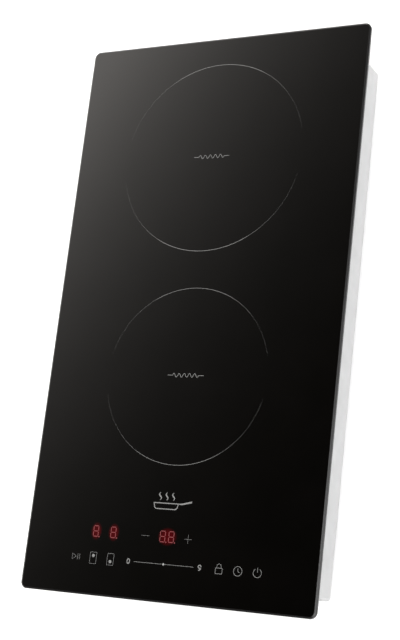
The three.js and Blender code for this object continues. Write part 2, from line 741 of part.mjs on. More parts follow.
// A slotted white bar that spreads light under the power slider.
function lightGuide() {
  const top = GLASS_BOTTOM - DISPLAY.gap;
  const bar = box(-46, 40, SLIDER_Y - 5, SLIDER_Y + 5, CONTROL_TOP, top);
  const pockets = Array.from({ length: 9 }, (_, i) =>
    block(-39 + i * 9, SLIDER_Y, 5, 5, CONTROL_TOP - 1, top - 1.25),
  );
  return cut(bar, pockets);
}

// A flat ribbon from the control board to the power board.
function controlRibbon() {
  const path = [
    [-193.7, 48], [-184, 48], [-179, 44], [-176, 24], [-168, 19], [-134, 19], [-122, 18.3],
  ];
  const width = 16;
  const thick = 0.8;
  const outline = [...path, ...path.map(([y, z]) => [y, z - thick]).reverse()];
  const shape = new THREE.Shape(outline.map(([y, z]) => new THREE.Vector2(y, z)));
  const geometry = new THREE.ExtrudeGeometry(shape, { depth: width, bevelEnabled: false });
  const alongX = new THREE.Matrix4().set(
    0, 0, 1, -width / 2,
    1, 0, 0, 0,
    0, 1, 0, 0,
    0, 0, 0, 1,
  );
  return geometry.applyMatrix4(alongX);
}

// The three mains cores between the terminal block and the power board.
function mainsLead() {
  const points = [
    [70, 188, 14], [70, 176, 14], [68, 150, 12], [64, 120, 14], [60, 100, 22], [60, 88, 20.5],
  ];
  return tubeAlong(points, 2.8, 18);
}

// ---------------------------------------------------------------- assembly

add("glass_panel", "glass", glassPanel());
add("bond_bead", "silicone", bondBead());
add("worktop_seal", "foam", worktopSeal());
add("glass_frame", "aluminium", glassFrame());
add("base_pan", "pan", basePan());

for (const screw of FRAME_SCREWS) {
  const side = screw.side < 0 ? "left" : "right";
  add(`frame_screw_${screw.end}_${side}`, "steel", frameScrew(screw));
}

add("coil_plate", "aluminium", coilPlate());
for (const foot of PLATE_FEET) {
  const name = `${foot.y < 0 ? "front" : "rear"}_${foot.side < 0 ? "left" : "right"}`;
  add(`plate_screw_${name}`, "steel", screwFromBelow(footX(foot), foot.y, 5));
}

add("terminal_block", "whitePlastic", terminalBlock());
add("terminal_lid", "blackPlastic", terminalLid());
add("cable_gland", "blackPlastic", cableGland());
add("earth_screw", "steel", earthScrew());

for (const zone of [REAR_ZONE, FRONT_ZONE]) {
  add(`coil_former_${zone.name}`, "blackPlastic", coilFormer(zone));
  add(`litz_winding_${zone.name}`, "copper", litzWinding(zone));
  add(`ferrite_spider_${zone.name}`, "ferrite", ferriteSpider(zone));
  add(`mica_sheet_${zone.name}`, "mica", micaSheet(zone));
  add(`coil_sensor_${zone.name}`, "whitePlastic", coilSensor(zone));
  legPlaces(zone).forEach((place, i) => {
    add(`coil_spring_${zone.name}_${i + 1}`, "steel", coilSpring(place));
  });
}
for (const lead of LEADS) add(`coil_lead_${lead.zone.name}`, "wire", coilLeads(lead));

add("board_tray", "blackPlastic", boardTray());
add("power_board", "greenBoard", powerBoard());
add("heatsink", "aluminium", heatsink());
add("power_switch_rear", "blackPlastic", powerSwitch(-12, 38));
add("power_switch_front", "blackPlastic", powerSwitch(-12, -32));
add("bridge_rectifier", "blackPlastic", powerSwitch(14, 4));
add("bus_capacitor", "capacitor", boxedPart(62, 36, 20, 42, 16));
add("resonant_capacitor_rear", "capacitor", boxedPart(62, -22, 16, 36, 15));
add("resonant_capacitor_front", "capacitor", boxedPart(62, -78, 16, 36, 15));
add("filter_choke", "copper", filterChoke());
add("relay", "whitePlastic", boxedPart(-70, 6, 18, 24, 15));
add("fuse", "steel", fuse());
add("mains_lead", "wire", mainsLead());

add("fan_housing", "blackPlastic", fanHousing());
add("fan_motor", "steel", fanMotor());
add("fan_impeller", "blackPlastic", fanImpeller());

add("control_tray", "whitePlastic", controlTray());
add("control_board", "greenBoard", controlBoard());
add("zone_display_rear", "redLens", display(-71.5, 12));
add("zone_display_front", "redLens", display(-53.5, 12));
add("timer_display", "redLens", display(1, 22));
add("light_guide", "whitePlastic", lightGuide());
add("control_ribbon", "ribbon", controlRibbon());

export default hob;
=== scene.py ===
"""A built-in two-zone induction hob: the looks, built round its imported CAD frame."""

import json
import math

import bmesh
import bpy
from mathutils import Matrix, Vector

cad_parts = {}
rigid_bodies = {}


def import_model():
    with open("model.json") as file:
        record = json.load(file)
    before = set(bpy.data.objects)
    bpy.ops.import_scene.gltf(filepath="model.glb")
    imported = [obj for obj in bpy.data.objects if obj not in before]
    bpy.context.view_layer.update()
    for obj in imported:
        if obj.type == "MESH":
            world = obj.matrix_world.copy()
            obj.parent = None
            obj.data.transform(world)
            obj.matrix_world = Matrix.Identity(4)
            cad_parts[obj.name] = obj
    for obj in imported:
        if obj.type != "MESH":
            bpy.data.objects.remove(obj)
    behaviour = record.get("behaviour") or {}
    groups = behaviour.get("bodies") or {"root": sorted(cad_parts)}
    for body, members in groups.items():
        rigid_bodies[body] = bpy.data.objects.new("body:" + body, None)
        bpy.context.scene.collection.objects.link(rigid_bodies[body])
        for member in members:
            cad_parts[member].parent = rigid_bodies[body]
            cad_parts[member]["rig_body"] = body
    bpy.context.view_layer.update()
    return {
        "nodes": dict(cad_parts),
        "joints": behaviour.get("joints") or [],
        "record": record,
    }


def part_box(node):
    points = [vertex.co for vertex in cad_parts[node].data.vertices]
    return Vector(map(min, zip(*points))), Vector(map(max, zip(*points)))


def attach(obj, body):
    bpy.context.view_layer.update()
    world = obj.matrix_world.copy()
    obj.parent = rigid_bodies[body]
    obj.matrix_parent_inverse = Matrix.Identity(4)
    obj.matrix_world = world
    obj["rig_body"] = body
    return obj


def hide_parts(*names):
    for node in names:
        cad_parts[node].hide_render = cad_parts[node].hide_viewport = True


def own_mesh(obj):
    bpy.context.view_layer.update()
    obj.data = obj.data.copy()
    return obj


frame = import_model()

MM = 0.001
HOB = "hob"

# ---------------------------------------------------------------- driving dimensions

GLASS_LOW, GLASS_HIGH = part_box("glass_panel")
GLASS_SIZE = GLASS_HIGH - GLASS_LOW
GLASS_CENTRE = (GLASS_LOW + GLASS_HIGH) / 2
GLASS_CORNER = 6 * MM
PRINT_THICK = 0.02 * MM
PRINT_TOP = GLASS_HIGH.z
GLASS_TOP = PRINT_TOP - PRINT_THICK

# Printed layout and line widths, in millimetres from the middle of the glass.
REAR_RING = {"x": -0.6, "y": 142.8, "radius": 90.4, "line": 0.39}
FRONT_RING = {"x": -0.6, "y": -62.3, "radius": 79.9, "line": 0.31}
EMBLEM_AT = (-4.5, -174.0)
DIGIT_Y = -204.2
REAR_DIGIT_X = (-71.7,)
FRONT_DIGIT_X = (-53.8,)
TIMER_DIGIT_X = (-4.2, 4.3)
TOUCH_Y = -227.7
SLIDER_X = -0.3
HAIR, THIN, FINE, BOLD = 0.19, 0.23, 0.36, 0.78

LITZ_TURNS = {"rear": 6, "front": 5}
TAIL_RADIUS, TAIL_OFFSET = 0.95 * MM, 0.98 * MM
CORE_RADIUS, CORE_OFFSET = 1.25 * MM, 1.45 * MM

# Routes of the wires, in millimetres.
LEAD_ROUTES = {
    "rear": [(80, 118, 46), (86, 112, 45), (92, 108, 40), (92, 108, 32), (91, 96, 22), (86, 82, 19.5)],
    "front": [(-72.5, -61.5, 40.5), (-78, -61.5, 41.5), (-84, -61.5, 38), (-84, -61.5, 30), (-84, -64, 22),
              (-84, -72, 19.5)],
}
MAINS_ROUTE = [(70, 188, 14), (70, 176, 14), (68, 150, 12), (64, 120, 14), (60, 100, 22), (60, 88, 20.5)]

FAN_TIP = 36.3 * MM
FAN_HUB = 14.5 * MM
FAN_BLADES = 7

# How far the edges of the CAD shapes are eased, in millimetres.
EASE_MM = 0.25
EASE_BY_NODE_MM = {
    "fan_motor": 0.5, "relay": 0.5, "bus_capacitor": 0.8, "resonant_capacitor_rear": 0.8,
    "resonant_capacitor_front": 0.8, "power_board": 0.2, "heatsink": 0.2, "control_board": 0.15,
    "control_ribbon": 0.15, "mica_sheet_rear": 0.1, "mica_sheet_front": 0.1,
}
# These nodes are made anew, but for the filter choke, which keeps its CAD shape.
NOT_EASED = (
    "glass_panel", "coil_spring", "coil_lead", "litz_winding", "mains_lead", "fan_impeller", "filter_choke",
)

# ---------------------------------------------------------------- mesh helpers


def place(name, bm, material, body=HOB, slot=None, sharp_degrees=35):
    """Turns a bmesh into a named piece that rides on a body."""
    bmesh.ops.recalc_face_normals(bm, faces=bm.faces)
    mesh = bpy.data.meshes.new(name)
    bm.to_mesh(mesh)
    bm.free()
    mesh.shade_smooth()
    mesh.set_sharp_from_angle(angle=math.radians(sharp_degrees))
    mesh.materials.append(material)
    piece = bpy.data.objects.new(name, mesh)
    bpy.context.scene.collection.objects.link(piece)
    flatten = piece.modifiers.new("flat_faces", "WEIGHTED_NORMAL")
    flatten.keep_sharp = True
    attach(piece, body)
    return piece


def loft(bm, loops, closed=False):
    """Skins closed loops of equal length. The last one joins the first, or both of them are capped."""
    rings = [[bm.verts.new(point) for point in loop] for loop in loops]
    following = rings[1:] + rings[:1] if closed else rings[1:]
    count = len(rings[0])
    for near, far in zip(rings, following):
        for i in range(count):
            j = (i + 1) % count
            bm.faces.new((near[i], near[j], far[j], far[i]))
    if not closed:
        bm.faces.new(rings[0][::-1])
        bm.faces.new(rings[-1])


def around(centre, radius, angle, z):
    """A point at an angle and a height round an upright axis through a centre."""
    return Vector((centre[0] + radius * math.cos(angle), centre[1] + radius * math.sin(angle), z))


def rounded_rectangle(width, length, radius, z, segments, centre=(0, 0)):
    """Points anticlockwise round a rectangle with round corners."""
    points = []
    for quarter, (sx, sy) in enumerate([(1, -1), (1, 1), (-1, 1), (-1, -1)]):
        corner = (centre[0] + sx * (width / 2 - radius), centre[1] + sy * (length / 2 - radius))
        for i in range(segments + 1):
            angle = math.radians(-90 + 90 * quarter + 90 * i / segments)
            points.append(around(corner, radius, angle, z))
    return points


def carried(path):
    """Each point of a path with two directions across it, carried along without twist."""
    last = len(path) - 1
    side = None
    for i, point in enumerate(path):
        along = (path[min(i + 1, last)] - path[max(i - 1, 0)]).normalized()
        if side is None:
            side = along.orthogonal()
        side = (side - along * side.dot(along)).normalized()
        yield point, side, along.cross(side)


def tube(bm, path, radius):
    """A round bar along a path."""
    sides = 8
    angles = [2 * math.pi * k / sides for k in range(sides)]
    loft(bm, [
        [point + radius * (math.cos(angle) * side + math.sin(angle) * up) for angle in angles]
        for point, side, up in carried(path)
    ])


def smooth_path(points):
    """A Catmull-Rom curve through points."""
    steps = 8  # between each two points
    path = []
    ends = [2 * points[0] - points[1], *points, 2 * points[-1] - points[-2]]
    for a, b, c, d in zip(ends, ends[1:], ends[2:], ends[3:]):
        slope, bend, twist = c - a, 2 * a - 5 * b + 4 * c - d, 3 * b - a - 3 * c + d
        for i in range(steps):
            t = i / steps
            path.append(0.5 * (2 * b + slope * t + bend * t**2 + twist * t**3))
    path.append(points[-1].copy())
    return path


def between(table, where):
    """The value at a place in a table of (place, value) steps, with straight lines between them."""
    for (start, first), (end, last) in zip(table, table[1:]):
        if where <= end:
            return first + (last - first) * (where - start) / (end - start)
    return table[-1][1]


# ---------------------------------------------------------------- printed marks


class Print:
    """Thin inked shapes on top of the glass, drawn in millimetres from its middle."""

    shortest_mitre = 0.4  # keeps the corner of a sharp bend from running far out

    def __init__(self, x=0.0, y=0.0):
        self.bm = bmesh.new()
        self.origin = Vector((x, y))

    def corner(self, point, z):
        x = GLASS_CENTRE.x + (self.origin.x + point[0]) * MM
        y = GLASS_CENTRE.y + (self.origin.y + point[1]) * MM
        return Vector((x, y, z))

    def area(self, outline, top=PRINT_TOP):
        loft(self.bm, [[self.corner(p, z) for p in outline] for z in (GLASS_TOP, top)])

    def dot(self, x, y, radius, sides=20):
        turn = 2 * math.pi / sides
        self.area([(x + radius * math.cos(i * turn), y + radius * math.sin(i * turn)) for i in range(sides)])

    def mitre(self, before, after, width):
        """The step to a stroke's left edge where its direction changes from before to after."""
        along = (before + after).normalized()
        return Vector((-along.y, along.x)) * (width / 2 / max(along.dot(after), self.shortest_mitre))

    def line(self, points, width):
        """A stroke with mitred bends. width is a number, or one number for each point."""
        points = [Vector(p) for p in points]
        widths = width if isinstance(width, list) else [width] * len(points)
        ways = [(end - start).normalized() for start, end in zip(points, points[1:])]
        left, right = [], []
        for point, before, after, wide in zip(points, ways[:1] + ways, ways + ways[-1:], widths):
            reach = self.mitre(before, after, wide)
            left.append(point + reach)
            right.append(point - reach)
        self.area(right + left[::-1])

    def loop(self, points, width):
        """A closed stroke, as one ring without a seam."""
        points = [Vector(p) for p in points]
        ways = [(end - start).normalized() for start, end in zip(points, points[1:] + points[:1])]
        inner, outer = [], []
        for point, before, after in zip(points, ways[-1:] + ways, ways):
            reach = self.mitre(before, after, width)
            inner.append(point + reach)
            outer.append(point - reach)
        section = ((outer, GLASS_TOP), (outer, PRINT_TOP), (inner, PRINT_TOP), (inner, GLASS_TOP))
        loft(self.bm, [[self.corner(p, z) for p in side] for side, z in section], closed=True)

    def place(self, name, material, slot=None):
        place(name, self.bm, material, slot=slot)


def arc(x, y, radius, start, end, count, stretch=1.0):
    """Points along an arc, with angles in degrees anticlockwise from +X."""
    points = []
    for i in range(count + 1):
        angle = math.radians(start + (end - start) * i / count)
        points.append((x + radius * math.cos(angle), y + radius * stretch * math.sin(angle)))
    return points


def outline(x, y, width, height, radius):
    """The points of a small rounded rectangle, in millimetres."""
    return [(p.x, p.y) for p in rounded_rectangle(width, height, radius, 0, 3, centre=(x, y))]


def zone_ring(name, ring, ink):
    """Two arcs, each bold in its middle, that thin towards the sides and end in fading dots."""
    # Degrees from the middle of the arc, and the share of the line's width that is left there.
    taper = ((0, 1.0), (27, 1.0), (31, 0.52), (42, 0.3), (54, 0.17), (64, 0.13))
    line_end, dot_end = taper[-1][0], 76.0
    dot_pitch, dot_radius, dot_fade = 0.9, 0.16, 0.07
    radius, steps = ring["radius"], 124
    dots = int(math.radians(dot_end - line_end) * radius / dot_pitch)
    drawn = Print(ring["x"], ring["y"])
    for turn in (90, 270):
        shares = [between(taper, abs(2 * i / steps - 1) * line_end) for i in range(steps + 1)]
        drawn.line(arc(0, 0, radius, turn - line_end, turn + line_end, steps),
                   [ring["line"] * share for share in shares])
        for i in range(1, dots + 1):
            share = i / dots
            away = line_end + (dot_end - line_end) * share
            for angle in (turn - away, turn + away):
                at = around((0, 0), radius, math.radians(angle), 0)
                drawn.dot(at.x, at.y, dot_radius - dot_fade * share, sides=8)
    drawn.place(name, ink)


def coil_symbol(name, ring, ink):
    """The sign of a coil in the middle of a zone: a wavy line between two straight leads."""
    reach, waves, height, lead, stroke = 13.0, 5, 1.7, 5.0, 0.42
    steps = 16 * waves
    points = [(-reach - lead, 0)]
    for i in range(steps + 1):
        share = i / steps
        points.append((reach * (2 * share - 1), height * math.sin(2 * math.pi * waves * share)))
    points.append((reach + lead, 0))
    drawn = Print(ring["x"], ring["y"])
    drawn.line(points, stroke)
    drawn.place(name, ink)


def heat_emblem(name, ink):
    """A pan with three waves rising from it, a plain sign for cooking."""
    half, low, high, wall = 12.0, -6.6, -1.6, 0.8
    flank, heel, foot = half - 0.9, low + 1.2, half - 2.4
    drawn = Print(*EMBLEM_AT)
    drawn.loop([(-half, high), (-flank, heel), (-foot, low), (foot, low), (flank, heel), (half, high)], wall)
    drawn.line([(half, high - 0.2), (half + 4, high), (half + 13, high + 2.2)], [wall, 1.3, 1.5])
    wave_gap, wave_low, wave_height, swing = 6.5, 1.0, 6.6, 1.1
    thinnest, swell, steps = 0.4, 0.75, 24
    shares = [i / steps for i in range(steps + 1)]
    for x in (-wave_gap, 0.0, wave_gap):
        drawn.line([(x + swing * math.sin(2 * math.pi * t), wave_low + wave_height * t) for t in shares],
                   [thinnest + swell * math.sin(math.pi * t) for t in shares])
    drawn.place(name, ink)


def minus_and_plus(drawn):
    """On the two sides of the timer's digits."""
    minus_x, minus_y, minus_reach = -21.3, DIGIT_Y - 0.4, 3.9
    drawn.line([(minus_x - minus_reach, minus_y), (minus_x + minus_reach, minus_y)], HAIR)
    plus_x, plus_y, across, up = 20.8, DIGIT_Y - 0.8, 3.6, 3.7
    drawn.line([(plus_x - across, plus_y), (plus_x + across, plus_y)], HAIR)
    for side in (-1, 1):
        drawn.line([(plus_x, plus_y + side * HAIR / 2), (plus_x, plus_y + side * up)], HAIR)


def start_and_pause(drawn):
    base, tip, half, bar = -92.9, -88.9, 2.5, 2.6
    drawn.loop([(base, TOUCH_Y - half), (tip, TOUCH_Y), (base, TOUCH_Y + half)], THIN)
    for x in (-87.3, -85.4):
        drawn.line([(x, TOUCH_Y - bar), (x, TOUCH_Y + bar)], THIN)


def zone_choice(drawn):
    """A small hob for each zone, with a dot at the zone that it stands for."""
    for x, side in ((-71.2, 1), (-53.5, -1)):
        drawn.loop(outline(x, TOUCH_Y, 6.5, 10.0, 0.5), THIN)
        drawn.dot(x, TOUCH_Y + side * 2.0, 1.4)


def power_slider(drawn):
    """A line in two halves, from the number 0 to the number 9."""
    bowl, inner, outer, stroke = 1.3, 1.2, 29.2, 0.28
    drawn.loop(arc(-35.2, TOUCH_Y, bowl, 0, 330, 11, stretch=1.55), BOLD)
    for side in (-1, 1):
        drawn.line([(SLIDER_X + side * inner, TOUCH_Y), (SLIDER_X + side * outer, TOUCH_Y)], stroke)
    x = 34.7
    drawn.loop(arc(x, TOUCH_Y + 0.8, bowl, 0, 330, 11), BOLD)
    tail = ((bowl, 0.6), (1.1, -0.9), (0.2, -2.1), (-1.0, -2.3))
    drawn.line([(x + across, TOUCH_Y + up) for across, up in tail], BOLD)


def child_lock(drawn):
    x, shackle, shoulder = 53.0, 2.0, TOUCH_Y + 1.3
    drawn.loop(outline(x, TOUCH_Y - 1.2, 6.4, 4.8, 0.5), FINE)
    bow = arc(x, TOUCH_Y + 2.4, shackle, 180, 0, 10, stretch=1.1)
    drawn.line([(x - shackle, shoulder), *bow, (x + shackle, shoulder)], FINE)


def clock(drawn):
    x, corners = 70.7, 32
    drawn.loop(arc(x, TOUCH_Y, 3.9, 0, 360 - 360 / corners, corners - 1), FINE)
    drawn.line([(x, TOUCH_Y + 2.4), (x, TOUCH_Y), (x + 1.7, TOUCH_Y - 1.1)], FINE)


def on_and_off(drawn):
    x, half_gap = 88.7, 35
    drawn.line(arc(x, TOUCH_Y, 3.7, 90 + half_gap, 450 - half_gap, 28), FINE)
    drawn.line([(x, TOUCH_Y + 0.6), (x, TOUCH_Y + 4.4)], FINE)


def touch_signs(name, ink):
    """Minus and plus beside the timer, and the row of touch signs and the power slider below."""
    drawn = Print()
    for sign in (minus_and_plus, start_and_pause, zone_choice, power_slider, child_lock, clock, on_and_off):
        sign(drawn)
    drawn.place(name, ink)


def slider_mark(name, ink):
    """The brighter mark at the middle of the power slider."""
    drawn = Print()
    drawn.dot(SLIDER_X, TOUCH_Y, 0.95)
    drawn.place(name, ink)


def lit_digit(drawn, x, y):
    """An eight of seven bars, with its decimal point."""
    half, bar, stroke, end_gap, side_gap = 2.45, 4.6, 0.68, 0.34, 0.54
    for level in (-1, 0, 1):
        height = y + level * bar
        drawn.line([(x - half + end_gap, height), (x + half - end_gap, height)], stroke)
    for side in (-1, 1):
        for low in (y - bar, y):
            drawn.line([(x + side * half, low + side_gap), (x + side * half, low + bar - side_gap)], stroke)
    drawn.dot(x + half + 1.25, y - bar - 0.1, 0.6, sides=12)


def digits(name, places, lit, glow):
    """Lit digits, over a dim patch of glass with the red glow of their light, coming through it, painted on.
    """
    margin, tall, corner, shift = 12.5, 17.5, 4.0, 0.5
    halo = Print(sum(places) / len(places) + shift, DIGIT_Y)
    halo.area(outline(0, 0, places[-1] - places[0] + margin, tall, corner), top=GLASS_TOP + PRINT_THICK / 2)
    halo.place(name + "_glow", glow)
    drawn = Print()
    for x in places:
        lit_digit(drawn, x, DIGIT_Y)
    drawn.place(name, lit, slot="red_lens")


# ---------------------------------------------------------------- materials


def math_node(tree, operation, *values):
    """A Math node whose inputs are numbers or other nodes' outputs."""
    node = tree.nodes.new("ShaderNodeMath")
    node.operation = operation
    for socket, value in zip(node.inputs, values):
        if isinstance(value, (int, float)):
            socket.default_value = value
        else:
            tree.links.new(value, socket)
    return node.outputs["Value"]


def map_range(tree, value, start, end, low, high):
    """A Map Range node that takes a value from start to end onto low to high."""
    node = tree.nodes.new("ShaderNodeMapRange")
    for socket, number in (("From Min", start), ("From Max", end), ("To Min", low), ("To Max", high)):
        node.inputs[socket].default_value = number
    tree.links.new(value, node.inputs["Value"])
    return node


class Surface:
    """A Principled material and short calls for the textures that drive it."""

    def __init__(self, name, **sockets):
        self.material = bpy.data.materials.new(name)
        self.material.use_nodes = True
        self.tree = self.material.node_tree
        self.shader = self.tree.nodes["Principled BSDF"]
        for socket, value in sockets.items():
            self.shader.inputs[socket.replace("_", " ")].default_value = value
        self.coordinates = self.tree.nodes.new("ShaderNodeTexCoord")
        self.where = self.coordinates.outputs["Object"]

    def link(self, output, socket):
        self.tree.links.new(output, socket)

    def compute(self, operation, *values):
        return math_node(self.tree, operation, *values)

    def stretched(self, x=1.0, y=1.0, z=1.0):
        mapping = self.tree.nodes.new("ShaderNodeMapping")
        mapping.inputs["Scale"].default_value = (x, y, z)
        self.link(self.where, mapping.inputs["Vector"])
        return mapping.outputs["Vector"]

    def noise(self, size_mm, detail=3.0, rough=0.55, where=None):
        node = self.tree.nodes.new("ShaderNodeTexNoise")
        node.inputs["Scale"].default_value = 1 / (size_mm * MM)
        node.inputs["Detail"].default_value = detail
        node.inputs["Roughness"].default_value = rough
        self.link(where or self.where, node.inputs["Vector"])
        return node.outputs["Fac"]

    def cells(self, size_mm, output="Distance", where=None, square=False):
        node = self.tree.nodes.new("ShaderNodeTexVoronoi")
        node.distance = "CHEBYCHEV" if square else "EUCLIDEAN"
        node.inputs["Scale"].default_value = 1 / (size_mm * MM)
        self.link(where or self.where, node.inputs["Vector"])
        return node.outputs[output]

    def bands(self, size_mm, direction="X"):
        """Soft stripes. A Wave node's own stripes are pi / 10 apart at a scale of 1."""
        node = self.tree.nodes.new("ShaderNodeTexWave")
        node.bands_direction = direction
        node.inputs["Scale"].default_value = math.pi / 10 / (size_mm * MM)
        self.link(self.where, node.inputs["Vector"])
        return node.outputs["Fac"]

    def spread(self, value, low, high, start=0.3, end=0.7):
        """Maps a texture's usual range onto low to high."""
        return map_range(self.tree, value, start, end, low, high).outputs["Result"]

    def blend(self, value, first, second):
        node = self.tree.nodes.new("ShaderNodeMix")
        node.data_type = "RGBA"
        node.inputs["A"].default_value = (*first, 1)
        node.inputs["B"].default_value = (*second, 1)
        self.link(value, node.inputs["Factor"])
        return node.outputs["Result"]

    def paint(self, value, first, second, start=0.3, end=0.7):
        """Colours the surface between two colours by a texture."""
        mixed = self.blend(self.spread(value, 0, 1, start, end), first, second)
        self.link(mixed, self.shader.inputs["Base Color"])

    def gloss(self, value, low, high):
        """Varies the roughness between low and high by a texture."""
        self.link(self.spread(value, low, high), self.shader.inputs["Roughness"])

    def relief(self, *heights):
        """Adds bumps: each is (texture, depth in millimetres, strength)."""
        normal = None
        for height, depth_mm, strength in heights:
            node = self.tree.nodes.new("ShaderNodeBump")
            node.inputs["Distance"].default_value = depth_mm * MM
            node.inputs["Strength"].default_value = strength
            self.link(height, node.inputs["Height"])
            if normal is not None:
                self.link(normal, node.inputs["Normal"])
            normal = node.outputs["Normal"]
        self.link(normal, self.shader.inputs["Normal"])


def black_glass():
    s = Surface("black_glass_ceramic", IOR=1.52)
    s.paint(s.noise(60, 2), (0.001, 0.0009, 0.0007), (0.0015, 0.0013, 0.0011))
    s.gloss(s.noise(38, 5, 0.6), 0.06, 0.09)
    s.relief((s.noise(9, 2), 0.01, 0.05))
    return s.material


def ground_edge():
    """The fine-ground edge of the black glass, duller than its face."""
    s = Surface("ground_glass_edge", IOR=1.52, Specular_IOR_Level=0.26)
    s.paint(s.noise(0.7, 3), (0.004, 0.0039, 0.0038), (0.011, 0.0107, 0.0104))
    s.gloss(s.noise(1.1, 3), 0.27, 0.42)
    s.relief((s.noise(0.35, 2), 0.01, 0.3))
    return s.material


def ceramic_ink(name="ceramic_ink", brightness=1.0):
    s = Surface(name)
    dark = [brightness * part for part in (0.145, 0.145, 0.142)]
    light = [brightness * part for part in (0.19, 0.19, 0.186)]
    s.paint(s.noise(0.6, 2), dark, light)
    s.gloss(s.noise(1.5), 0.4, 0.6)
    return s.material


def red_light():
    light = {"Emission_Color": (1.0, 0.17, 0.2, 1), "Emission_Strength": 0.17}
    s = Surface("red_segment_light", Roughness=0.25, **light)
    s.paint(s.noise(0.8, 2), (0.06, 0.02, 0.02), (0.09, 0.03, 0.03))
    return s.material


def painted_red_glow():
    """Black glass with the red glow of the digits' light painted into its colour, reddening towards the
    middle of its piece; it emits no light.
    """
    s = Surface("painted_display_glow", Roughness=0.08, IOR=1.52)
    s.where = s.coordinates.outputs["Generated"]
    outward = s.tree.nodes.new("ShaderNodeVectorMath")
    outward.operation = "DISTANCE"
    s.link(s.stretched(1, 1, 0), outward.inputs[0])
    outward.inputs[1].default_value = (0.5, 0.5, 0)
    # Painted glow: the display's light as red base colour in the middle of the patch, fading out to black
    # glass.
    s.paint(outward.outputs["Value"], (0.042, 0.0006, 0.0014), (0.0012, 0.001, 0.0008), 0.24, 0.46)
    return s.material


def pale_steel():
    s = Surface("pale_coated_steel", Specular_IOR_Level=0.3)
    spangle = s.cells(7, output="Color")
    s.paint(s.noise(22, 4), (0.518, 0.519, 0.521), (0.564, 0.565, 0.567))
    s.gloss(s.noise(5, 4), 0.46, 0.6)
    s.relief((spangle, 0.012, 0.12), (s.noise(0.9, 3), 0.02, 0.18))
    return s.material


def mill_aluminium():
    s = Surface("mill_aluminium", Metallic=1.0)
    rolled = s.noise(2.2, 4, where=s.stretched(1, 0.05, 1))
    s.paint(rolled, (0.6, 0.61, 0.62), (0.74, 0.745, 0.75))
    s.gloss(rolled, 0.3, 0.48)
    s.relief((rolled, 0.01, 0.2))
    return s.material


def zinc_steel():
    s = Surface("zinc_plated_steel", Metallic=1.0)
    s.paint(s.noise(1.4, 4), (0.5, 0.51, 0.52), (0.68, 0.69, 0.69))
    s.gloss(s.noise(0.8, 3), 0.24, 0.42)
    s.relief((s.noise(0.5, 2), 0.01, 0.2))
    return s.material


def cell_foam():
    s = Surface("closed_cell_foam", Roughness=0.95)
    pores = s.cells(0.7)
    s.paint(pores, (0.012, 0.012, 0.013), (0.045, 0.045, 0.046), 0.05, 0.55)
    s.relief((pores, 0.2, 0.8))
    return s.material


def silicone():
    s = Surface("cured_silicone", Specular_IOR_Level=0.4)
    s.paint(s.noise(6), (0.03, 0.03, 0.031), (0.055, 0.055, 0.056))
    s.gloss(s.noise(3), 0.45, 0.65)
    s.relief((s.noise(4, 2), 0.15, 0.4))
    return s.material


def moulded(name, dark, light):
    """A moulded plastic with a fine spark-eroded texture."""
    s = Surface(name)
    grain = s.noise(0.35, 3)
    s.paint(s.noise(15, 3), dark, light)
    s.gloss(grain, 0.42, 0.6)
    s.relief((grain, 0.03, 0.35), (s.noise(12, 1), 0.05, 0.1))
    return s.material


def litz_copper():
    s = Surface("varnished_litz", Metallic=0.85)
    strands = s.noise(0.45, 3, where=s.stretched(1, 1, 2.5))
    s.paint(strands, (0.3, 0.1, 0.04), (0.72, 0.32, 0.16))
    s.gloss(strands, 0.28, 0.5)
    s.relief((strands, 0.12, 0.8))
    return s.material


def spiral_litz(name, centre):
    """Varnished copper strands, twisted round a flat spiral about a centre."""
    s = Surface(name, Metallic=0.85)
    strands_per_turn, lean_per_metre, contrast = 150, 3400.0, 0.35
    moved = s.tree.nodes.new("ShaderNodeMapping")
    moved.inputs["Location"].default_value = (-centre.x, -centre.y, 0)
    s.link(s.where, moved.inputs["Vector"])
    split = s.tree.nodes.new("ShaderNodeSeparateXYZ")
    s.link(moved.outputs["Vector"], split.inputs["Vector"])
    x, y = split.outputs["X"], split.outputs["Y"]
    turned = s.compute("MULTIPLY", s.compute("ARCTAN2", y, x), strands_per_turn)
    outward = s.compute("SQRT", s.compute("ADD", s.compute("MULTIPLY", x, x), s.compute("MULTIPLY", y, y)))
    phase = s.compute("ADD", turned, s.compute("MULTIPLY", outward, lean_per_metre))
    strands = s.compute("ADD", s.compute("MULTIPLY", s.compute("SINE", phase), contrast), s.noise(0.9, 3))
    s.paint(strands, (0.26, 0.08, 0.03), (0.76, 0.35, 0.18), 0.2, 0.8)
    s.gloss(s.noise(1.2, 3), 0.26, 0.46)
    s.relief((strands, 0.15, 0.8))
    return s.material


def core_sleeve(name, color, stripe=None):
    """One insulated core, with a stripe of a second colour if it has one."""
    s = Surface(name)
    if stripe:
        s.paint(s.bands(5.0, "DIAGONAL"), color, stripe, 0.45, 0.55)
    else:
        s.paint(s.noise(2.0, 3), color, [part * 1.25 for part in color])
    s.gloss(s.noise(1.0, 3), 0.35, 0.5)
    s.relief((s.noise(0.8, 2), 0.02, 0.2))
    return s.material


def pressed_ferrite():
    s = Surface("pressed_ferrite")
    s.paint(s.noise(0.5, 4), (0.018, 0.018, 0.021), (0.06, 0.06, 0.066))
    s.gloss(s.noise(3), 0.5, 0.75)
    s.relief((s.noise(0.4, 3), 0.05, 0.5))
    return s.material


def pressed_mica():
    s = Surface("pressed_mica", Specular_IOR_Level=0.6)
    flakes = s.cells(2.6, output="Color")
    s.paint(flakes, (0.38, 0.3, 0.185), (0.5, 0.41, 0.28), 0.1, 0.9)
    s.gloss(s.cells(2.6), 0.25, 0.6)
    s.relief((flakes, 0.04, 0.3))
    return s.material


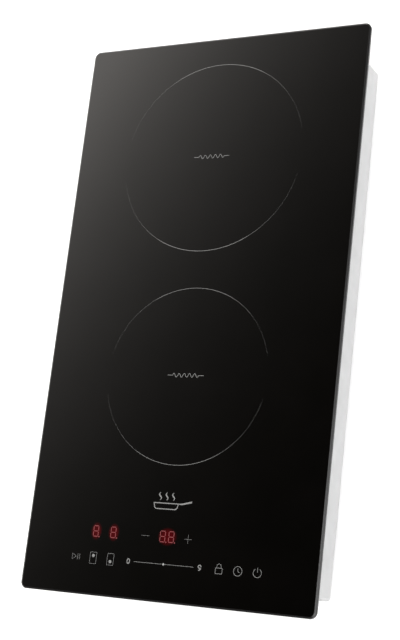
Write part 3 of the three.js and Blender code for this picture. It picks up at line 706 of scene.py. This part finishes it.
def circuit_board():
    """Solder mask over tracks that run across or along in square patches, and over whole areas of copper."""
    s = Surface("solder_masked_board", Coat_Weight=0.3)
    track_mm = 1.7
    patch = s.cells(10, output="Color", where=s.stretched(1, 1, 0.01), square=True)
    across = s.compute("MULTIPLY", s.compute("GREATER_THAN", patch, 0.5), s.bands(track_mm, "X"))
    along = s.compute("MULTIPLY", s.compute("LESS_THAN", patch, 0.5), s.bands(track_mm, "Y"))
    tracks = s.compute("GREATER_THAN", s.compute("ADD", across, along), 0.6)
    copper = s.compute("MAXIMUM", tracks, s.compute("GREATER_THAN", patch, 0.66))
    s.paint(copper, (0.01, 0.07, 0.026), (0.028, 0.135, 0.05), 0, 1)
    s.gloss(s.noise(4), 0.3, 0.5)
    s.relief((copper, 0.03, 0.3))
    return s.material


def red_epoxy():
    s = Surface("dipped_red_epoxy", Coat_Weight=0.4)
    s.paint(s.noise(5, 3), (0.22, 0.018, 0.014), (0.36, 0.04, 0.03))
    s.gloss(s.noise(3), 0.18, 0.34)
    s.relief((s.noise(7, 1), 0.15, 0.25))
    return s.material


def red_window():
    s = Surface("red_display_window", IOR=1.49)
    s.paint(s.noise(3), (0.1, 0.004, 0.004), (0.17, 0.01, 0.01))
    s.gloss(s.noise(2), 0.08, 0.2)
    return s.material


def flat_cable():
    s = Surface("flat_cable")
    cores = s.bands(1.27)
    s.paint(cores, (0.42, 0.42, 0.41), (0.68, 0.68, 0.66))
    s.gloss(cores, 0.35, 0.55)
    s.relief((cores, 0.25, 0.7))
    return s.material


def wire_sleeve():
    s = Surface("glass_fibre_sleeve")
    braid = s.cells(0.8)
    s.paint(braid, (0.16, 0.02, 0.016), (0.36, 0.06, 0.045), 0.1, 0.6)
    s.gloss(braid, 0.5, 0.75)
    s.relief((braid, 0.12, 0.7))
    return s.material


def studio_floor():
    s = Surface("pale_floor")
    s.paint(s.noise(400, 2), (0.955, 0.955, 0.955), (0.97, 0.97, 0.97))
    s.gloss(s.noise(90), 0.6, 0.7)
    return s.material


MATERIAL = {
    "glass": black_glass(),
    "pan": pale_steel(),
    "aluminium": mill_aluminium(),
    "steel": zinc_steel(),
    "foam": cell_foam(),
    "silicone": silicone(),
    "black_plastic": moulded("moulded_black", (0.016, 0.016, 0.017), (0.03, 0.03, 0.032)),
    "white_plastic": moulded("moulded_white", (0.62, 0.61, 0.57), (0.72, 0.71, 0.67)),
    "copper": litz_copper(),
    "ferrite": pressed_ferrite(),
    "mica": pressed_mica(),
    "green_board": circuit_board(),
    "capacitor": red_epoxy(),
    "red_lens": red_window(),
    "ribbon": flat_cable(),
    "wire": wire_sleeve(),
}

# ---------------------------------------------------------------- the glass and what is printed on it


def glass_panel():
    """The panel with ground edges: a flat facet above and below, and a straight edge between."""
    low_facet, high_facet, ease = 0.8 * MM, 1.5 * MM, 0.18 * MM
    polished = 0.98  # a face stays polished if its normal is at least this upright
    bottom = GLASS_LOW.z
    # Distance in from the edge, and height. Points a share of the ease away round the corners off.
    profile = [
        (3 * low_facet, bottom),
        (low_facet, bottom),
        (low_facet - ease, bottom + 0.35 * ease),
        (ease, bottom + low_facet - ease),
        (0, bottom + low_facet),
        (0, GLASS_TOP - low_facet),
        (0.6 * ease, GLASS_TOP - low_facet + 0.8 * ease),
        (high_facet - 1.4 * ease, GLASS_TOP - 0.65 * ease),
        (high_facet + 0.5 * ease, GLASS_TOP),
        (2 * high_facet, GLASS_TOP),
    ]
    bm = bmesh.new()
    loft(bm, [
        rounded_rectangle(GLASS_SIZE.x - 2 * inset, GLASS_SIZE.y - 2 * inset, GLASS_CORNER - inset, z, 14)
        for inset, z in profile
    ])
    piece = place("glass_ceramic_panel", bm, MATERIAL["glass"], slot="glass", sharp_degrees=12)
    piece.data.materials.append(ground_edge())
    for face in piece.data.polygons:
        if abs(face.normal.z) < polished:
            face.material_index = 1
    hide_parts("glass_panel")


def prints():
    ink = ceramic_ink()
    zone_ring("zone_ring_rear", REAR_RING, ink)
    zone_ring("zone_ring_front", FRONT_RING, ink)
    coil_symbol("zone_symbol_rear", REAR_RING, ink)
    coil_symbol("zone_symbol_front", FRONT_RING, ink)
    heat_emblem("heat_emblem", ink)
    touch_signs("touch_signs", ink)
    slider_mark("slider_mark", ceramic_ink("bright_ceramic_ink", 1.6))
    lit, glow = red_light(), painted_red_glow()
    digits("rear_zone_digit", REAR_DIGIT_X, lit, glow)
    digits("front_zone_digit", FRONT_DIGIT_X, lit, glow)
    digits("timer_digits", TIMER_DIGIT_X, lit, glow)


# ---------------------------------------------------------------- pieces that keep their CAD shape


def refined(node, material, slot, ease_mm):
    """The CAD node's own shape with its sharp edges eased, on the body that the node belongs to."""
    same_point, flat_degrees, sharp_degrees = 0.001 * MM, 1, 32
    source = frame["nodes"][node]
    bm = bmesh.new()
    bm.from_mesh(source.data)
    bmesh.ops.remove_doubles(bm, verts=bm.verts, dist=same_point)
    bmesh.ops.dissolve_limit(bm, angle_limit=math.radians(flat_degrees), verts=bm.verts, edges=bm.edges)
    sharp = [
        edge for edge in bm.edges
        if len(edge.link_faces) == 2 and edge.calc_face_angle(0) > math.radians(sharp_degrees)
    ]
    bmesh.ops.bevel(bm, geom=sharp, offset=ease_mm * MM, segments=2, profile=0.6, affect="EDGES",
                    clamp_overlap=True)
    piece = place(node + "_finished", bm, material, body=source["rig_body"], slot=slot)
    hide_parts(node)


# ---------------------------------------------------------------- pieces inside the pan


def shortens(piece, joint):
    """Gives a piece a mesh of its own; the travel of its joint is looked up but not used."""
    slide = next(found for found in frame["joints"] if found["name"] == joint)
    travel = max(abs(end) for end in slide["range_m"])
    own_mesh(piece)


def coil_spring(node, joint):
    """A compression spring with closed end coils."""
    low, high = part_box(node)
    centre = (low + high) / 2
    wire = 0.55 * MM
    radius = (high.x - low.x) / 2 - wire
    bottom, height = low.z + wire, high.z - low.z - 2 * wire
    turns, steps, closed = 5.0, 26, 0.9
    closed_rise = 2.3 * wire  # for each turn of a closed end coil
    open_height = height - 2 * closed_rise * closed
    points = []
    for i in range(int(turns * steps) + 1):
        turn = i / steps
        share = min(max((turn - closed) / (turns - 2 * closed), 0), 1)
        closed_turns = min(turn, closed) + max(turn - turns + closed, 0)
        z = bottom + closed_rise * closed_turns + open_height * share
        points.append(around(centre, radius, 2 * math.pi * turn, z))
    bm = bmesh.new()
    tube(bm, points, wire)
    piece = place(node + "_wire", bm, MATERIAL["steel"], slot="steel")
    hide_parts(node)
    shortens(piece, joint)


def strand(path, radius, offset, start, turns):
    """A round bar that winds round a path at an offset, from a start given as a share of a turn."""
    points = []
    for i, (point, side, up) in enumerate(carried(path)):
        angle = 2 * math.pi * (start + turns * i / (len(path) - 1))
        points.append(point + offset * (math.cos(angle) * side + math.sin(angle) * up))
    bm = bmesh.new()
    tube(bm, points, radius)
    return bm


def coil_lead(node, joint, route, sleeve):
    """Two sleeved tails, loosely twisted."""
    tails, twists = 2, 1.5
    path = smooth_path([Vector(point) * MM for point in route])
    for i in range(tails):
        bm = strand(path, TAIL_RADIUS, TAIL_OFFSET, i / tails, twists)
        piece = place(f"{node}_tail_{i + 1}", bm, sleeve, slot="wire")
        if i == 0:
            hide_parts(node)
        shortens(piece, joint)


def mains_lead():
    """Three insulated cores from the terminals to the power board."""
    twists = 1.2
    path = smooth_path([Vector(point) * MM for point in MAINS_ROUTE])
    cores = (
        ("live", core_sleeve("brown_core", (0.14, 0.05, 0.025))),
        ("neutral", core_sleeve("blue_core", (0.02, 0.08, 0.32))),
        ("earth", core_sleeve("earth_core", (0.05, 0.3, 0.06), (0.75, 0.62, 0.05))),
    )
    for i, (name, sleeve) in enumerate(cores):
        bm = strand(path, CORE_RADIUS, CORE_OFFSET, i / len(cores), twists)
        piece = place(f"mains_core_{name}", bm, sleeve, slot="wire")
        if i == 0:
            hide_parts("mains_lead")


def litz_winding(zone, turns):
    """A flat spiral of oval litz rope, between the former's core and its rim."""
    node = f"litz_winding_{zone}"
    low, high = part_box(node)
    former_low, former_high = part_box(f"coil_former_{zone}")
    centre = (former_low + former_high) / 2
    half_wide, half_high = 2.7 * MM, (high.z - low.z) / 2
    inner, outer = 17 * MM, (former_high.x - former_low.x) / 2 - 6.5 * MM
    middle = (low.z + high.z) / 2
    steps, sides = 40, 12
    loops = []
    for i in range(turns * steps + 1):
        angle = 2 * math.pi * i / steps
        radius = inner + (outer - inner) * i / (turns * steps)
        loop = []
        for k in range(sides):
            round_it = 2 * math.pi * k / sides
            outward = radius + half_wide * math.cos(round_it)
            loop.append(around(centre, outward, angle, middle + half_high * math.sin(round_it)))
        loops.append(loop)
    bm = bmesh.new()
    loft(bm, loops)
    piece = place(node + "_rope", bm, spiral_litz(f"spiral_litz_{zone}", centre),
                  body=frame["nodes"][node]["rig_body"], slot="copper", sharp_degrees=60)
    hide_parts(node)


def fan_hub(bm, centre, low, high):
    """A cup that is open above, with a round lower edge and a hollow shaft in its middle."""
    wall, rounding, facets = 1.8 * MM, 1.6 * MM, 48
    bore, shaft, shaft_top = 0.4 * MM, 2.2 * MM, high - 3 * MM
    profile = [
        (shaft, shaft_top), (shaft, low + wall), (FAN_HUB - wall, low + wall), (FAN_HUB - wall, high),
        (FAN_HUB, high), (FAN_HUB, low + rounding), (FAN_HUB - 0.3 * rounding, low + 0.3 * rounding),
        (FAN_HUB - rounding, low), (bore, low), (bore, shaft_top),
    ]
    angles = [2 * math.pi * k / facets for k in range(facets)]
    loft(bm, [[around(centre, radius, angle, z) for angle in angles] for radius, z in profile], closed=True)


def fan_blade(bm, centre, low, high, start):
    """One blade. Towards its tip it grows wider and flatter, and it sweeps forward."""
    stations, steps = 9, 10
    overlap, clearance = 0.4 * MM, 0.2 * MM
    root_chord, more_chord = 13.5 * MM, 5.5 * MM
    root_pitch, less_pitch, sweep = math.radians(48), math.radians(20), math.radians(9)
    camber, edge_half, more_half, fullness = 0.09, 0.28 * MM, 0.45 * MM, 0.6
    root = FAN_HUB - overlap
    loops = []
    for i in range(stations):
        share = i / (stations - 1)
        radius = root + (FAN_TIP - root) * share
        chord = root_chord + more_chord * share
        pitch = root_pitch - less_pitch * share
        loop = []
        for side, order in ((1, range(steps + 1)), (-1, range(steps, -1, -1))):
            for k in order:
                arch = math.sin(math.pi * k / steps)
                along = (k / steps - 0.5) * chord
                across = camber * chord * arch + side * (edge_half + more_half * arch ** fullness)
                turned = (along * math.cos(pitch) - across * math.sin(pitch)) / radius
                height = (low + high) / 2 + along * math.sin(pitch) + across * math.cos(pitch)
                z = min(max(height, low + clearance), high - clearance)
                loop.append(around(centre, radius, start + sweep * share**2 + turned, z))
        loops.append(loop)
    loft(bm, loops)


def fan_impeller():
    """A hub cup with curved blades that are steeper at the root."""
    low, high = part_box("fan_impeller")
    centre = (low + high) / 2
    bm = bmesh.new()
    fan_hub(bm, centre, low.z, high.z)
    for blade in range(FAN_BLADES):
        fan_blade(bm, centre, low.z, high.z, 2 * math.pi * blade / FAN_BLADES)
    piece = place("fan_impeller_finished", bm, MATERIAL["black_plastic"], body="fan", slot="black_plastic")
    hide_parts("fan_impeller")


# ---------------------------------------------------------------- floor, light and camera


def floor():
    """A hair below the feet, so that no two faces share a plane."""
    bm = bmesh.new()
    below_feet = Matrix.Translation((0, 0, -0.3 * MM))
    bmesh.ops.create_grid(bm, x_segments=8, y_segments=8, size=30, matrix=below_feet)
    mesh = bpy.data.meshes.new("studio_floor")
    bm.to_mesh(mesh)
    bm.free()
    mesh.materials.append(studio_floor())
    piece = bpy.data.objects.new("studio_floor", mesh)
    bpy.context.scene.collection.objects.link(piece)


def aimed(target, place_at, roll_degrees=0.0):
    """A matrix at a place, looking along its own -Z at a target."""
    turn = (target - place_at).to_track_quat("-Z", "Y").to_matrix().to_4x4()
    return Matrix.Translation(place_at) @ turn @ Matrix.Rotation(math.radians(roll_degrees), 4, "Z")


def overhead_light():
    """One very broad soft light, high over the front right, the same all over the floor."""
    light = bpy.data.lights.new("overhead_light", "SUN")
    light.energy = 4.2
    light.angle = math.radians(45)
    lamp = bpy.data.objects.new("overhead_light", light)
    lamp.matrix_world = aimed(Vector((0, 0, 0)), Vector((0.35, -0.25, 1.0)))
    bpy.context.scene.collection.objects.link(lamp)


def studio_world():
    """Pale round the horizon and dark overhead, with a broad warm glow behind the left rear corner."""
    glow_azimuth, glow_elevation = math.radians(146.6), math.radians(-17.2)
    glow_width, glow_height, glow_most, glow_edge = math.radians(38.5), 6.05, 2.25, 3.0
    pale_below, dark_above = 0.1, 0.5
    world = bpy.data.worlds.new("studio")
    world.use_nodes = True
    tree = world.node_tree
    nodes, link = tree.nodes, tree.links.new
    direction = nodes.new("ShaderNodeTexCoord").outputs["Generated"]

    toward = nodes.new("ShaderNodeVectorMath")
    toward.operation = "DOT_PRODUCT"
    link(direction, toward.inputs[0])
    toward.inputs[1].default_value = around(
        (0, 0), math.cos(glow_elevation), glow_azimuth, math.sin(glow_elevation))
    away = math_node(tree, "ARCCOSINE", math_node(tree, "MINIMUM", toward.outputs["Value"], 1.0))
    fall = math_node(tree, "POWER", math_node(tree, "DIVIDE", away, glow_width), glow_edge)
    rise = math_node(tree, "EXPONENT", math_node(tree, "SUBTRACT", glow_height, fall))
    warm = nodes.new("ShaderNodeBackground")
    link(math_node(tree, "MINIMUM", rise, glow_most), warm.inputs["Strength"])
    warm.inputs["Color"].default_value = (1.04, 0.996, 0.955, 1)

    height = nodes.new("ShaderNodeSeparateXYZ")
    link(direction, height.inputs["Vector"])
    horizon = map_range(tree, height.outputs["Z"], pale_below, dark_above, 1.0, 0.0)
    horizon.interpolation_type = "SMOOTHSTEP"
    white = nodes["Background"]
    link(horizon.outputs["Result"], white.inputs["Strength"])
    white.inputs["Color"].default_value = (1, 1, 1, 1)

    both = nodes.new("ShaderNodeAddShader")
    link(white.outputs["Background"], both.inputs[0])
    link(warm.outputs["Background"], both.inputs[1])
    link(both.outputs["Shader"], nodes["World Output"].inputs["Surface"])
    bpy.context.scene.world = world


def camera():
    """A long lens high over the front right, turned so that the hob stands upright in the frame."""
    glass_middle = Vector((GLASS_CENTRE.x, GLASS_CENTRE.y, GLASS_HIGH.z))
    place_at = glass_middle + Vector((0.5697, -0.2771, 1.0289))
    aim = glass_middle + Vector((0.0074, -0.0119, 0))
    lens = bpy.data.cameras.new("camera")
    lens.sensor_width = 36
    lens.lens = 76.14
    eye = bpy.data.objects.new("camera", lens)
    eye.matrix_world = aimed(aim, place_at, roll_degrees=-61.3)
    bpy.context.scene.collection.objects.link(eye)
    bpy.context.scene.camera = eye


# ---------------------------------------------------------------- assembly

slot_of = {part["node"]: part["material_slot"] for part in frame["record"]["subparts"]}
for node, cad in frame["nodes"].items():
    cad.data.materials.clear()
    cad.data.materials.append(MATERIAL[slot_of[node]])

glass_panel()
prints()
for zone, turns in LITZ_TURNS.items():
    slide = f"coil_{zone}_slide"
    for i in (1, 2, 3):
        coil_spring(f"coil_spring_{zone}_{i}", slide)
    coil_lead(f"coil_lead_{zone}", slide, LEAD_ROUTES[zone], MATERIAL["wire"])
    litz_winding(zone, turns)
mains_lead()
fan_impeller()
for node in frame["nodes"]:
    if not node.startswith(NOT_EASED):
        refined(node, MATERIAL[slot_of[node]], slot_of[node], EASE_BY_NODE_MM.get(node, EASE_MM))

floor()
overhead_light()
studio_world()
camera()
bpy.context.scene.view_settings.view_transform = "Standard"
